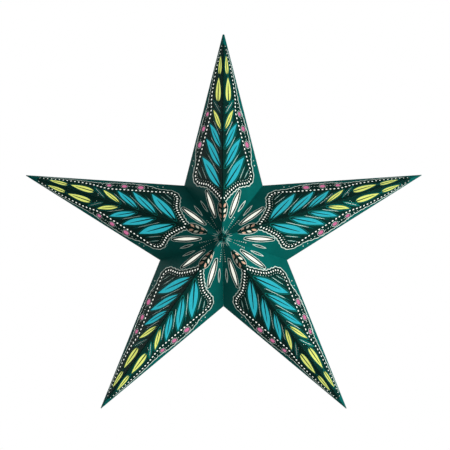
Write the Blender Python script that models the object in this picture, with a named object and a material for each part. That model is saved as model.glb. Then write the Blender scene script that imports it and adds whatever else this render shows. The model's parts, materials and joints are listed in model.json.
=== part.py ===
"""A folding paper star lantern with five arms, 600 mm across.

Ten front facets and ten back facets of stiff card meet in creases. The front creases run from
the front point to the tips (ridges) and to the notches (valleys), and the back creases mirror
them. Each facet is pierced by windows, and a sheet of tissue lies behind them. The star opens
at a seam in its bottom valley and folds up like a fan, until its facets lie flat on each other.

Metres, +Z up, seen from -Y. The origin is the cord hole in the tip of the top arm, by which
the star hangs.
"""
import math

import bmesh
import bpy
from mathutils import Matrix, Vector

# The star's driving sizes
TIP_RADIUS = 0.3155
NOTCH_RADIUS = 0.1006
HALF_DEPTH = 0.100
ARM_NAMES = ("top", "right", "lower_right", "lower_left", "left")

# The sheets
CARD_THICKNESS = 0.0005
TISSUE_THICKNESS = 0.0001
TISSUE_GAP = 0.0003
TISSUE_INSET = 0.0025

# The creases: how far a fold line lies from the faces that close on it, and the slit beside it
INNER_FOLD_DEPTH = 0.0005
OUTER_FOLD_DEPTH = 0.0004
CREASE_CLEARANCE = 0.00005

# The back creases carry no fold line, so their slit widens towards the back point
BACK_RIDGE_CLEARANCE = 0.0006
BACK_VALLEY_CLEARANCE = 0.0004

# The top tips are nipped off, which leaves a hole for the hanging cord
CORD_HOLE_LENGTH = 0.004

# The seam: a flange on each side of the bottom valley, held by two pairs of hook and loop pads
FLANGE_WIDTH = 0.008
FLANGE_SEAT_GAP = 0.0003
FLANGE_ENDS_SHARES = (0.36, 0.90)
PAD_RADIUS = 0.003
PAD_THICKNESS = 0.0008
PAD_GAP = 0.0003
PAD_POINTS = 24
PAD_PLACES_SHARES = {"inner": 0.50, "outer": 0.76}

# The windows: leaves and drops as shares of the facet, from its point to its tip and notch
LEAF_STEPS = 8
DROP_STEPS = 7
BERRY_POINTS = 12
BERRY_RADII = (0.0044, 0.0039, 0.0033)
BERRY_PLACE_SHARES = ((0.298, 0.598), (0.400, 0.500), (0.496, 0.402))
# Each leaf: its foot, its tip and its half width, along the ridge and towards the notch
LEAF_SHARES = (
    ((0.224, 0.042), (0.254, 0.528), (-0.037, 0.044)),
    ((0.322, 0.038), (0.368, 0.432), (-0.031, 0.037)),
    ((0.416, 0.035), (0.464, 0.336), (-0.026, 0.031)),
    ((0.506, 0.032), (0.554, 0.248), (-0.020, 0.025)),
)
# Each drop: its round foot, its point and its half width
DROP_SHARES = (
    ((0.624, 0.128), (0.748, 0.112), (-0.014, 0.066)),
    ((0.766, 0.092), (0.868, 0.064), (-0.009, 0.042)),
)
# The petal near the star's point, given as a leaf is
PETAL_SHARES = ((0.054, 0.180), (0.118, 0.410), (-0.013, 0.030))
TISSUE_FOOT_SHARE = 0.06
TISSUE_END_SHARE = 0.90


# How far the cord hole lies above the star's centre
HANGING_HEIGHT = TIP_RADIUS * (1 - CORD_HOLE_LENGTH / math.hypot(TIP_RADIUS, HALF_DEPTH))


def star_point(radius, turns):
    """A point in the star's middle plane, at so many arms clockwise from the top arm."""
    angle = math.radians(90) - 2 * math.pi * turns / len(ARM_NAMES)
    return Vector((radius * math.cos(angle), 0, radius * math.sin(angle) - HANGING_HEIGHT))


FRONT_POINT = Vector((0, -HALF_DEPTH, -HANGING_HEIGHT))
BACK_POINT = Vector((0, HALF_DEPTH, -HANGING_HEIGHT))
CENTRE = (FRONT_POINT + BACK_POINT) / 2
TIPS = [star_point(TIP_RADIUS, arm) for arm in range(len(ARM_NAMES))]
NOTCHES = [star_point(NOTCH_RADIUS, arm + 1 / 2) for arm in range(len(ARM_NAMES))]


def across(start, end, point):
    """The unit vector square to the line from start to end, towards a point."""
    along = (end - start).normalized()
    side = point - start
    return (side - along * side.dot(along)).normalized()


def half_angle(start, end, one, other):
    """Half the angle between two faces that meet in the line from start to end."""
    return across(start, end, one).angle(across(start, end, other)) / 2


RIDGE_HALF_ANGLE = half_angle(FRONT_POINT, TIPS[0], NOTCHES[0], NOTCHES[-1])
VALLEY_HALF_ANGLE = half_angle(FRONT_POINT, NOTCHES[0], TIPS[0], TIPS[1])
OUTLINE_HALF_ANGLE = half_angle(TIPS[0], NOTCHES[0], FRONT_POINT, BACK_POINT)

# The seam: how far its flanges' faces lie from its plane, and where the flanges begin
VALLEY_LENGTH = (NOTCHES[0] - FRONT_POINT).length
SEAM_FACE = PAD_THICKNESS + PAD_GAP * 3 / 2
FLANGE_FOOT = (FLANGE_SEAT_GAP / math.sin(VALLEY_HALF_ANGLE)
               - SEAM_FACE / math.tan(VALLEY_HALF_ANGLE))

# The facet in its own plane: its point at zero, its ridge along X, its notch above
RIDGE_LENGTH = (TIPS[0] - FRONT_POINT).length
NOTCH_ALONG = (NOTCHES[0] - FRONT_POINT).dot((TIPS[0] - FRONT_POINT).normalized())
NOTCH_ACROSS = (NOTCHES[0] - FRONT_POINT).dot(across(FRONT_POINT, TIPS[0], NOTCHES[0]))
FACET = (Vector((0, 0)), Vector((RIDGE_LENGTH, 0)), Vector((NOTCH_ALONG, NOTCH_ACROSS)))


def on_facet(shares):
    """The facet's own coordinates of a point given as shares of its two creases."""
    return FACET[1] * shares[0] + FACET[2] * shares[1]


def meet(line_one, line_two):
    """Where two lines in the facet's plane cross, each given by two points."""
    (p, q), (r, s) = line_one, line_two
    one, two = q - p, s - r
    share = (r - p).cross(two) / one.cross(two)
    return p + one * share


def inset(start, end, cut_start, cut_end):
    """A side of the facet moved inwards, by one length at each of its ends."""
    along = (end - start).normalized()
    inwards = Vector((-along.y, along.x))
    return start + inwards * cut_start, end + inwards * cut_end


def upright(distance):
    """A line square to the ridge, so far from the facet's point."""
    return Vector((distance, 0)), Vector((distance, NOTCH_ACROSS))


def facet_outline(ridge_cuts, valley_cuts, outline_cut, nipped=0.0):
    """The card's outline: the facet less its creases, and less its tip where it is nipped."""
    point, tip, notch = FACET
    ridge = inset(point, tip, *ridge_cuts)
    outline = inset(tip, notch, outline_cut, outline_cut)
    valley = inset(notch, point, *valley_cuts)
    if not nipped:
        return [meet(valley, ridge), meet(ridge, outline), meet(outline, valley)]
    end = upright(RIDGE_LENGTH - nipped)
    return [meet(valley, ridge), meet(ridge, end), meet(outline, end), meet(outline, valley)]


def tissue_outline():
    """The tissue's outline: a little inside the card, with both its sharp ends cut off."""
    point, tip, notch = FACET
    ridge = inset(point, tip, TISSUE_INSET, TISSUE_INSET)
    outline = inset(tip, notch, TISSUE_INSET, TISSUE_INSET)
    valley = inset(notch, point, TISSUE_INSET, TISSUE_INSET)
    foot = upright(RIDGE_LENGTH * TISSUE_FOOT_SHARE)
    end = upright(RIDGE_LENGTH * TISSUE_END_SHARE)
    return [meet(ridge, foot), meet(ridge, end), meet(outline, end), meet(outline, valley),
            meet(valley, foot)]


def leaf_window(foot, tip, belly):
    """A leaf with two pointed ends: its half width follows a half wave from foot to tip."""
    foot, tip, belly = Vector(foot), Vector(tip), Vector(belly)
    shares = [step / LEAF_STEPS for step in range(LEAF_STEPS + 1)]
    middle = [foot.lerp(tip, share) for share in shares]
    width = [belly * math.sin(math.pi * share) for share in shares]
    one_side = [m + w for m, w in zip(middle, width)]
    other_side = [m - w for m, w in zip(middle, width)][1:-1]
    return [on_facet(p) for p in one_side + other_side[::-1]]


def drop_window(foot, tip, belly):
    """A drop with a round foot: its half width is the root of the share, times what is left."""
    foot, tip, belly = Vector(foot), Vector(tip), Vector(belly)
    shares = [(step / DROP_STEPS) ** 2 for step in range(DROP_STEPS + 1)]
    middle = [foot.lerp(tip, share) for share in shares]
    fullest = math.sqrt(1 / 3) * 2 / 3
    width = [belly * math.sqrt(share) * (1 - share) / fullest for share in shares]
    one_side = [m + w for m, w in zip(middle, width)]
    other_side = [m - w for m, w in zip(middle, width)][1:-1]
    return [on_facet(p) for p in one_side + other_side[::-1]]


def berry_window(place, radius):
    """A small round window."""
    centre = on_facet(place)
    turns = [2 * math.pi * step / BERRY_POINTS for step in range(BERRY_POINTS)]
    return [centre + Vector((math.cos(turn), math.sin(turn))) * radius for turn in turns]


def windows():
    """Every window of a facet."""
    leaves = [leaf_window(*row) for row in LEAF_SHARES]
    drops = [drop_window(*row) for row in DROP_SHARES]
    berries = [berry_window(*row) for row in zip(BERRY_PLACE_SHARES, BERRY_RADII)]
    return leaves + drops + berries + [leaf_window(*PETAL_SHARES)]


def flat_sheet(name, outlines, thickness):
    """A flat sheet around its own plane: the first outline is its edge, the rest its holes."""
    curve = bpy.data.curves.new(name, "CURVE")
    curve.dimensions = "2D"
    curve.fill_mode = "BOTH"
    curve.extrude = thickness / 2
    for outline in outlines:
        spline = curve.splines.new("POLY")
        spline.points.add(len(outline) - 1)
        for point, place in zip(spline.points, outline):
            point.co = (place.x, place.y, 0, 1)
        spline.use_cyclic_u = True
    return curve


def paper(name, colour, roughness):
    """A paper material of one colour."""
    material = bpy.data.materials.new(name)
    material.use_nodes = True
    shader = material.node_tree.nodes["Principled BSDF"]
    shader.inputs["Base Color"].default_value = (*colour, 1)
    shader.inputs["Roughness"].default_value = roughness
    shader.inputs["Metallic"].default_value = 0
    return material


def collection(name):
    """A new collection in the scene."""
    made = bpy.data.collections.new(name)
    bpy.context.scene.collection.children.link(made)
    return made


def facet_frame(point, tip, notch):
    """A facet's place: X along its ridge, Y towards its notch. Also which way is outwards."""
    x = (tip - point).normalized()
    y = across(point, tip, notch)
    z = x.cross(y)
    outwards = z if z.dot(point - CENTRE) > 0 else -z
    place = Matrix((x, y, z)).transposed().to_4x4()
    place.translation = point
    return place, outwards


def fold_line(start, end, inwards, depth, moving, still, closes):
    """A fold line as a matrix: its Z is the axis, and turning about it folds the star.

    It lies beside the crease from start to end, on the line's inner or outer side by depth.
    moving and still are the far corners of the two facets, which close up or spread apart.
    """
    axis = (end - start).normalized()
    origin = start + inwards * depth
    turned = Matrix.Rotation(math.radians(1), 3, axis) @ (moving - origin) + origin
    nearer = (turned - still).length < (moving - still).length
    if nearer != closes:
        axis = -axis
    side = axis.orthogonal().normalized()
    place = Matrix((side, axis.cross(side), axis)).transposed().to_4x4()
    place.translation = origin
    return place


def hold(name, place, parent, home):
    """An empty that carries a moving facet, on its fold line."""
    empty = bpy.data.objects.new(name, None)
    empty.empty_display_size = CREASE_CLEARANCE
    home.objects.link(empty)
    seat(empty, place, parent)
    return empty


def seat(thing, place, parent):
    """Puts a thing at a place in the world, under its parent, whose place is kept with it."""
    thing["place"] = [value for row in place for value in row]
    thing.parent = parent
    if parent is None:
        thing.matrix_basis = place
        return
    above = Matrix([parent["place"][row * 4:row * 4 + 4] for row in range(4)])
    thing.matrix_basis = above.inverted() @ place


def front_facets():
    """The ten front facets clockwise from the seam: name, tip and notch of each."""
    arms = len(ARM_NAMES)
    seam = (arms + 1) // 2
    rows = []
    for step in range(arms):
        arm = (seam + step) % arms
        rows.append((f"{ARM_NAMES[arm]}_ccw", TIPS[arm], NOTCHES[arm - 1]))
        rows.append((f"{ARM_NAMES[arm]}_cw", TIPS[arm], NOTCHES[arm]))
    return rows


def crease_between(one, other):
    """The fold line of the front crease between two neighbouring facets, other moving."""
    (_, tip, notch), (_, other_tip, other_notch) = one, other
    if tip == other_tip:
        inwards = across(FRONT_POINT, tip, CENTRE)
        depth = INNER_FOLD_DEPTH / math.sin(RIDGE_HALF_ANGLE)
        return fold_line(FRONT_POINT, tip, inwards, depth, other_notch, notch, True)
    outwards = -across(FRONT_POINT, notch, CENTRE)
    depth = (CARD_THICKNESS + OUTER_FOLD_DEPTH) / math.sin(VALLEY_HALF_ANGLE)
    return fold_line(FRONT_POINT, notch, outwards, depth, other_tip, tip, True)


def outline_crease(row):
    """The fold line of the crease between a front facet and the back facet behind it."""
    _, tip, notch = row
    inwards = across(tip, notch, CENTRE)
    depth = INNER_FOLD_DEPTH / math.sin(OUTLINE_HALF_ANGLE)
    return fold_line(tip, notch, inwards, depth, BACK_POINT, FRONT_POINT, False)


def sheet_object(name, curve, place, lift, outwards, parent, material, home):
    """A sheet seated on its facet's plane, lifted outwards or inwards."""
    thing = bpy.data.objects.new(name, curve)
    if not curve.materials:
        curve.materials.append(material)
    home.objects.link(thing)
    seat(thing, Matrix.Translation(outwards * lift) @ place, parent)
    return thing


def seam_frame(point, notch, tip):
    """The seam's plane on one side: X along the valley, Y inwards. Also the way to the tip."""
    x = (notch - point).normalized()
    y = across(point, notch, CENTRE)
    z = x.cross(y)
    sideways = z if z.dot(tip - point) > 0 else -z
    place = Matrix((x, y, z)).transposed().to_4x4()
    place.translation = point
    return place, sideways


def flange_sheet():
    """A flange's sheet: a strip along the valley whose inner corners are cut off."""
    start, end = (VALLEY_LENGTH * share for share in FLANGE_ENDS_SHARES)
    low, high = FLANGE_FOOT, FLANGE_FOOT + FLANGE_WIDTH
    corner = FLANGE_WIDTH / 2
    outline = [Vector(p) for p in ((start, low), (end, low), (end, high - corner),
                                   (end - corner, high), (start + corner, high),
                                   (start, high - corner))]
    return flat_sheet("seam_flange", [outline], CARD_THICKNESS)


def pad_mesh(material):
    """A round pad, a short cylinder."""
    mesh = bpy.data.meshes.new("fastener_pad")
    shape = bmesh.new()
    bmesh.ops.create_cone(shape, cap_ends=True, segments=PAD_POINTS, radius1=PAD_RADIUS,
                          radius2=PAD_RADIUS, depth=PAD_THICKNESS)
    shape.to_mesh(mesh)
    shape.free()
    mesh.materials.append(material)
    return mesh


def seam(side, point, notch, facets, sheet, pads, card, home):
    """One side's flanges and pads. facets gives each half's tip and holder."""
    for half, (tip, holder) in facets.items():
        place, sideways = seam_frame(point, notch, tip)
        sheet_object(f"seam_{half}_{side}_flange", sheet, place,
                     SEAM_FACE + CARD_THICKNESS / 2, sideways, holder, card, home)
        kind = "hook" if half == "right" else "loop"
        for spot, share in PAD_PLACES_SHARES.items():
            centre = Vector((VALLEY_LENGTH * share, FLANGE_FOOT + FLANGE_WIDTH / 2, 0))
            pad = bpy.data.objects.new(f"seam_{side}_{spot}_{kind}_pad", pads)
            home.objects.link(pad)
            lift = sideways * (PAD_GAP + PAD_THICKNESS) / 2
            seat(pad, Matrix.Translation(lift) @ place @ Matrix.Translation(centre), holder)


def build():
    """The whole star."""
    for thing in list(bpy.data.objects):
        bpy.data.objects.remove(thing, do_unlink=True)
    home = collection("paper_star_lantern")
    card = paper("green_card", (0.004, 0.110, 0.090), 0.45)
    tissue = paper("coloured_tissue", (0.010, 0.420, 0.620), 0.70)

    ridge = INNER_FOLD_DEPTH / math.tan(RIDGE_HALF_ANGLE) + CREASE_CLEARANCE
    valley = ((CARD_THICKNESS + OUTER_FOLD_DEPTH) / math.tan(VALLEY_HALF_ANGLE)
              + CREASE_CLEARANCE)
    outline = INNER_FOLD_DEPTH / math.tan(OUTLINE_HALF_ANGLE) + CREASE_CLEARANCE
    cuts = {
        "front": ((ridge, ridge), (valley, valley), outline),
        "back": ((ridge + BACK_RIDGE_CLEARANCE, ridge),
                 (valley, valley + BACK_VALLEY_CLEARANCE), outline),
    }
    sheets = {}
    for side, cut in cuts.items():
        sheets[side] = flat_sheet(f"{side}_card", [facet_outline(*cut), *windows()],
                                  CARD_THICKNESS)
        nipped = [facet_outline(*cut, nipped=CORD_HOLE_LENGTH), *windows()]
        sheets[f"top_{side}"] = flat_sheet(f"top_{side}_card", nipped, CARD_THICKNESS)
    tissue_sheet = flat_sheet("tissue", [tissue_outline()], TISSUE_THICKNESS)
    flange = flange_sheet()
    pads = pad_mesh(paper("fastener_pad", (0.75, 0.75, 0.72), 0.90))

    def facet(name, row, side, parent):
        """One facet of card and the tissue behind it."""
        point = FRONT_POINT if side == "front" else BACK_POINT
        place, outwards = facet_frame(point, row[1], row[2])
        curve = sheets[f"top_{side}" if name.startswith("top") else side]
        sheet_object(f"{name}_{side}_card", curve, place, CARD_THICKNESS / 2, outwards,
                     parent, card, home)
        sheet_object(f"{name}_{side}_tissue", tissue_sheet, place,
                     -TISSUE_GAP - TISSUE_THICKNESS / 2, outwards, parent, tissue, home)

    rows = front_facets()
    root = next(at for at, row in enumerate(rows) if row[0] == "top_cw")
    holders = {root: hold("fold_root", Matrix.Identity(4), None, home)}
    for at in [*range(root + 1, len(rows)), *range(root - 1, -1, -1)]:
        before = at - 1 if at > root else at + 1
        place = crease_between(rows[before], rows[at])
        holders[at] = hold(f"fold_{rows[at][0]}_front", place, holders[before], home)
    backs = {}
    for at, row in enumerate(rows):
        facet(row[0], row, "front", holders[at])
        backs[at] = hold(f"fold_{row[0]}_back", outline_crease(row), holders[at], home)
        facet(row[0], row, "back", backs[at])

    last = len(rows) - 1
    for side, point, folds in (("front", FRONT_POINT, holders), ("back", BACK_POINT, backs)):
        halves = {"right": (rows[last][1], folds[last]), "left": (rows[0][1], folds[0])}
        seam(side, point, rows[0][2], halves, flange, pads, card, home)


build()
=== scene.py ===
# %% [markdown]
# # A folding paper star lantern
#
# The lantern is a hollow five-armed star, 600 mm across. Each arm is folded from stiff green card
# into four flat facets: two in front that meet in a ridge, and two behind. Windows and rows of
# pinholes are cut out of the card and backed with tissue in four colours, and silver lines and a
# darker green are printed round them.
#
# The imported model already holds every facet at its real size, hinged together. This script dresses
# it. All the facets are the same triangle, so everything is drawn once, flat, in a facet's own
# coordinates, and then laid on the twenty facets. Lengths are in metres.

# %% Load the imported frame
import json
import math

import bpy
import numpy as np
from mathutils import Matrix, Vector
from mathutils.geometry import delaunay_2d_cdt

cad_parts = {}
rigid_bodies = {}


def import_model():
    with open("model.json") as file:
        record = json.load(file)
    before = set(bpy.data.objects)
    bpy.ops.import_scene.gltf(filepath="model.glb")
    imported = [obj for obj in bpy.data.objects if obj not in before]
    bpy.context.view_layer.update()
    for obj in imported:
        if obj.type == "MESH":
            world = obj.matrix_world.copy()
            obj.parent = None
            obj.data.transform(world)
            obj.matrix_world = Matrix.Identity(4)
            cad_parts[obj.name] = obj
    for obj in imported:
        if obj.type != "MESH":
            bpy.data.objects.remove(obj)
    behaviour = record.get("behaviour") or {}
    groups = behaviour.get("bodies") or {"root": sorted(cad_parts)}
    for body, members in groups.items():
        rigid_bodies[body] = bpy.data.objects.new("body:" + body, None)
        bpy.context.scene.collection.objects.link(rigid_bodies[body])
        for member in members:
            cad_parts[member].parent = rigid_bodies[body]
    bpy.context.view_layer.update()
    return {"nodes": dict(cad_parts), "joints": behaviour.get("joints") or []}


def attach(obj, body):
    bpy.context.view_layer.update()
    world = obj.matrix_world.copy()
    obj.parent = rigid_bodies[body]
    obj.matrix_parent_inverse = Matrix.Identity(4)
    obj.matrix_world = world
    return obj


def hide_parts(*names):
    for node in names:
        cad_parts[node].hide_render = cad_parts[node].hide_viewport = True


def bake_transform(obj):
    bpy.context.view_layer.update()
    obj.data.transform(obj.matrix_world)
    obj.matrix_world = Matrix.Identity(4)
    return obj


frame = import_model()

# %% [markdown]
# ## The facet's own coordinates
#
# A facet has three corners: the star's point in the middle, the tip of its arm, and the notch
# beside the arm. `u` runs from the point along the ridge, `v` runs square to it towards the notch,
# and `w` leaves the star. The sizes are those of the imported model, whose origin is the hole in the
# top tip. A fold line lies a little inside the card at the ridges and the outer edges, and a little
# outside it at the valleys. The script prints where a packed card lies above its facet: it should
# fill no more and no less than the thickness of the card.

# %% The star's sizes and its twenty facets
TIP_RADIUS = 0.3155
NOTCH_RADIUS = 0.1006
HALF_DEPTH = 0.100
CORD_HOLE = 0.004
CARD = 0.0005
INNER_FOLD = 0.0005
OUTER_FOLD = 0.0004
CREASE_GAP = 0.00005
ARMS = ("top", "right", "lower_right", "lower_left", "left")
CENTRE_HEIGHT = -TIP_RADIUS * (1 - CORD_HOLE / math.hypot(TIP_RADIUS, HALF_DEPTH))
CENTRE = np.array([0, 0, CENTRE_HEIGHT])


def unit(vector):
    """A vector divided by its length."""
    return vector / np.linalg.norm(vector)


def plane_point(radius, turns):
    """A point in the star's middle plane, so many arms clockwise from the top arm."""
    angle = math.pi / 2 - 2 * math.pi * turns / len(ARMS)
    return CENTRE + radius * np.array([math.cos(angle), 0, math.sin(angle)])


def facet(arm, half, side):
    """One facet: its corners, and its axes u, v and w as the rows of a matrix."""
    at = ARMS.index(arm)
    point = CENTRE + np.array([0, -HALF_DEPTH if side == "front" else HALF_DEPTH, 0])
    tip = plane_point(TIP_RADIUS, at)
    notch = plane_point(NOTCH_RADIUS, at + (1 if half == "cw" else -1) / 2)
    u = unit(tip - point)
    v = unit((notch - point) - u * (notch - point).dot(u))
    w = np.cross(u, v)
    w = w if w.dot(point - CENTRE) > 0 else -w
    return {"name": f"{arm}_{half}_{side}", "arm": arm, "side": side, "point": point,
            "tip": tip, "notch": notch, "axes": np.array([u, v, w])}


FACETS = {f["name"]: f for f in (facet(arm, half, side) for arm in ARMS
                                 for half in ("ccw", "cw") for side in ("front", "back"))}
SAMPLE = FACETS["right_cw_front"]
RIDGE = np.linalg.norm(SAMPLE["tip"] - SAMPLE["point"])
NOTCH = (SAMPLE["axes"] @ (SAMPLE["notch"] - SAMPLE["point"]))[:2]
CREASES = np.array([[RIDGE, 0], NOTCH])
CORNERS = np.array([[0, 0], [RIDGE, 0], NOTCH])

packed = np.array([v.co for v in frame["nodes"]["right_cw_front_card"].data.vertices])
above = (packed - SAMPLE["point"]) @ SAMPLE["axes"][2] * 1000
print("facet:", np.round(CORNERS * 1000, 1).tolist(), "mm")
print("packed card from", round(above.min(), 3), "to", round(above.max(), 3), "mm above it")

# %% [markdown]
# ## Shapes as arrays
#
# A shape here is a pair of arrays: points with three coordinates, and triangles that index them.
# A facet could be modelled by hand in Edit Mode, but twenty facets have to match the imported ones
# closely, and arrays do that at once. A sheet of card, a printed line and a drop of paint are all
# closed solids whose triangles face outwards.
#
# Paper is never quite flat. Every layer of a facet follows one gentle bow, which is zero on the
# creases and highest in the middle of the facet, so that light slides over it.

# %% Helpers for arrays of points and triangles
BOW = 0.0004


def on_facet(shares):
    """The u and v of points given as shares of the ridge and of the valley."""
    return np.asarray(shares, float) @ CREASES


def bow(flat):
    """The bow times 27 times the three barycentric shares of a point. Their product is one 27th
    in the middle of the facet, where the bow is full, and nothing on its sides."""
    shares = np.asarray(flat)[:, :2] @ np.linalg.inv(CREASES)
    product = shares[:, 0] * shares[:, 1] * (1 - shares.sum(1))
    return 27 * BOW * np.clip(product, 0, None)


def lifted(flat, height):
    """Flat points as three coordinates, at a height above the bowed facet."""
    flat = np.asarray(flat)
    return np.c_[flat, bow(flat) + height]


def outwards(points, triangles):
    """The triangles turned so that the solid's signed volume is positive."""
    a, b, c = (points[triangles[:, k]] - points[0] for k in range(3))
    volume = np.einsum("ij,ij->i", a, np.cross(b, c)).sum()
    return points, triangles if volume > 0 else triangles[:, ::-1]


def joined(shapes):
    """Several shapes as one: their points stacked, their triangles shifted to match."""
    starts = np.cumsum([0] + [len(points) for points, _ in shapes[:-1]])
    points = np.vstack([points for points, _ in shapes])
    return points, np.vstack([triangles + start for start, (_, triangles) in zip(starts, shapes)])


def grid_triangles(rows, columns, wrap_rows=False, wrap_columns=False):
    """Two triangles for each cell of a grid of points, which may close on itself both ways."""
    i = np.arange(rows if wrap_rows else rows - 1)[:, None]
    j = np.arange(columns if wrap_columns else columns - 1)[None, :]
    a = i * columns + j
    b = i * columns + (j + 1) % columns
    c = (i + 1) % rows * columns + (j + 1) % columns
    d = (i + 1) % rows * columns + j
    a, b, c, d = (corner.ravel() for corner in np.broadcast_arrays(a, b, c, d))
    return np.vstack([np.c_[a, b, c], np.c_[a, c, d]])


def fan(ring):
    """A flat cap over a ring of point numbers, as triangles from its first point."""
    ring = np.asarray(ring)
    return np.c_[np.full(len(ring) - 2, ring[0]), ring[1:-1], ring[2:]]


print("bow in the middle of a facet:", round(bow([CORNERS.mean(0)])[0] * 1000, 2), "mm")

# %% [markdown]
# ## Drawing on a facet
#
# The ornament is cut and printed on the real card. An image could carry it, but cut edges and
# raised ink catch the light, so every motif is drawn as an outline and made solid. A smooth outline
# comes from a few given points, joined by cubic curves that pass through all of them.
# Windows are kept as lists of their smooth sides, because a line drawn round a window at a distance
# has to turn each corner on a small arc.

# %% Helpers for paths
def smooth(points, steps=8, closed=False):
    """A curve through all its points. Each span between two of them is a cubic, whose slope at
    an end is half the step between that end's neighbours."""
    p = np.asarray(points, float)
    if closed:
        before, start, end, after = (np.roll(p, k, 0) for k in (1, 0, -1, -2))
    else:
        q = np.vstack([2 * p[0] - p[1], p, 2 * p[-1] - p[-2]])
        before, start, end, after = q[:-3], q[1:-2], q[2:-1], q[3:]
    t = np.linspace(0, 1, steps, endpoint=False)[None, :, None]
    before, start, end, after = (x[:, None, :] for x in (before, start, end, after))
    curve = 0.5 * (2 * start + (end - before) * t
                   + (2 * before - 5 * start + 4 * end - after) * t ** 2
                   + (3 * start - before - 3 * end + after) * t ** 3)
    curve = curve.reshape(-1, p.shape[1])
    return curve if closed else np.vstack([curve, p[-1]])


def normals(path, closed=False):
    """The unit vector to the left of a path at each of its points."""
    if closed:
        along = np.roll(path, -1, 0) - np.roll(path, 1, 0)
    else:
        along = np.gradient(path, axis=0)
    along = along / np.linalg.norm(along, axis=1)[:, None]
    return np.c_[-along[:, 1], along[:, 0]]


def beside(path, distance):
    """A path moved to its left, by a distance for each point or one for all."""
    return path + normals(path) * np.broadcast_to(distance, len(path))[:, None]


def run_of(path):
    """The length along a path at each of its points."""
    return np.r_[0, np.cumsum(np.linalg.norm(np.diff(path, axis=0), axis=1))]


def points_at(path, lengths, rows=None):
    """The points at some lengths along a path, or other rows that go with its points, found by
    interpolation over the path's length."""
    run = run_of(path)
    rows = path if rows is None else rows
    return np.c_[np.interp(lengths, run, rows[:, 0]), np.interp(lengths, run, rows[:, 1])]


def evenly(path, spacing):
    """Points the same length apart along a path: the whole number of steps nearest a spacing."""
    length = run_of(path)[-1]
    steps = max(int(round(length / spacing)), 1)
    return points_at(path, np.linspace(0, length, steps + 1))


print("points 10 mm apart along a ridge:", len(evenly(CORNERS[:2], 0.010)))


# %% Helpers for closed outlines
def thinned(outline, least=0.00003):
    """A closed outline without points that almost repeat the one before."""
    step = np.linalg.norm(outline - np.roll(outline, 1, 0), axis=1)
    return outline[step > least]


def signed_area(outline):
    """Half the sum of the cross products of neighbouring points: positive anticlockwise."""
    x, y = np.asarray(outline).T
    return 0.5 * np.sum(x * np.roll(y, -1) - y * np.roll(x, -1))


def grown(sides, distance, arc_steps=7):
    """The outline a distance outside a window: each side moved along its normals, and an arc
    of that radius round each corner between them."""
    turn = -np.sign(signed_area(np.vstack(sides)))
    pushed = [normals(side) * turn for side in sides]
    parts = []
    for side, here, after in zip(sides, pushed, pushed[1:] + pushed[:1]):
        start = math.atan2(here[-1, 1], here[-1, 0])
        end = math.atan2(after[0, 1], after[0, 0])
        sweep = (end - start + math.pi) % (2 * math.pi) - math.pi
        angles = start + sweep * np.linspace(0, 1, arc_steps)[1:-1]
        parts += [side + here * distance,
                  side[-1] + distance * np.c_[np.cos(angles), np.sin(angles)]]
    return thinned(np.vstack(parts))


def inside(points, outlines):
    """True where a ray to the right crosses the outlines an odd number of times."""
    crossings = np.zeros(len(points), int)
    for outline in outlines:
        a, b = outline, np.roll(outline, -1, 0)
        low, high = a[:, 1][None], b[:, 1][None]
        y = points[:, 1][:, None]
        spans = (low > y) != (high > y)
        rise = np.where(high == low, 1, high - low)
        x = a[:, 0][None] + (y - low) / rise * (b[:, 0] - a[:, 0])[None]
        crossings += (spans & (points[:, 0][:, None] < x)).sum(1)
    return crossings % 2 == 1


print("area of a facet:", round(signed_area(CORNERS) * 1e4), "cm2")

# %% [markdown]
# ## The three building shapes
#
# A sheet is a flat outline with holes in it, given a thickness. A Solidify modifier could do that,
# but here both faces and the cut edges are made at once, and each can have a look of its own. A
# ribbon is a domed section carried along a path, which is how silver ink stands up from a card. A
# bevelled curve would be round below as well, where a ribbon is flat and needs few faces. A dome is
# a drop of paint.

# %% A sheet
MESH_SCALE = 1000
NET_TOLERANCE = 1e-5


def triangulated(outlines, spacing):
    """Triangles inside the first outline and outside the others, with a grid of points between,
    so that a wide sheet can bow. The net keeps the outlines as edges. It is found in millimetres,
    because its tolerance suits numbers of that size."""
    ring_points = np.vstack(outlines)
    low, high = ring_points.min(0), ring_points.max(0)
    net = np.stack(np.meshgrid(np.arange(low[0], high[0], spacing),
                               np.arange(low[1], high[1], spacing)), -1).reshape(-1, 2)
    gap = np.linalg.norm(net[:, None] - ring_points[None], axis=2).min(1)
    net = net[inside(net, outlines) & (gap > spacing / 2)]
    counts = [len(outline) for outline in outlines]
    starts = np.cumsum([0] + counts[:-1])
    edges = np.vstack([np.c_[np.arange(n), np.roll(np.arange(n), -1)] + start
                       for start, n in zip(starts, counts)])
    points = np.vstack([ring_points, net]) * MESH_SCALE
    made = delaunay_2d_cdt(points.tolist(), edges.tolist(), [], 0, NET_TOLERANCE)
    flat = np.array([tuple(p) for p in made[0]]) / MESH_SCALE
    triangles = np.array(made[2])
    triangles = triangles[inside(flat[triangles].mean(1), outlines)]
    a, b, c = (flat[triangles[:, k]] for k in range(3))
    turned = (b - a)[:, 0] * (c - a)[:, 1] - (b - a)[:, 1] * (c - a)[:, 0] < 0
    triangles[turned] = triangles[turned][:, ::-1]
    used, renumbered = np.unique(triangles, return_inverse=True)
    return flat[used], renumbered.reshape(-1, 3)


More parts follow.
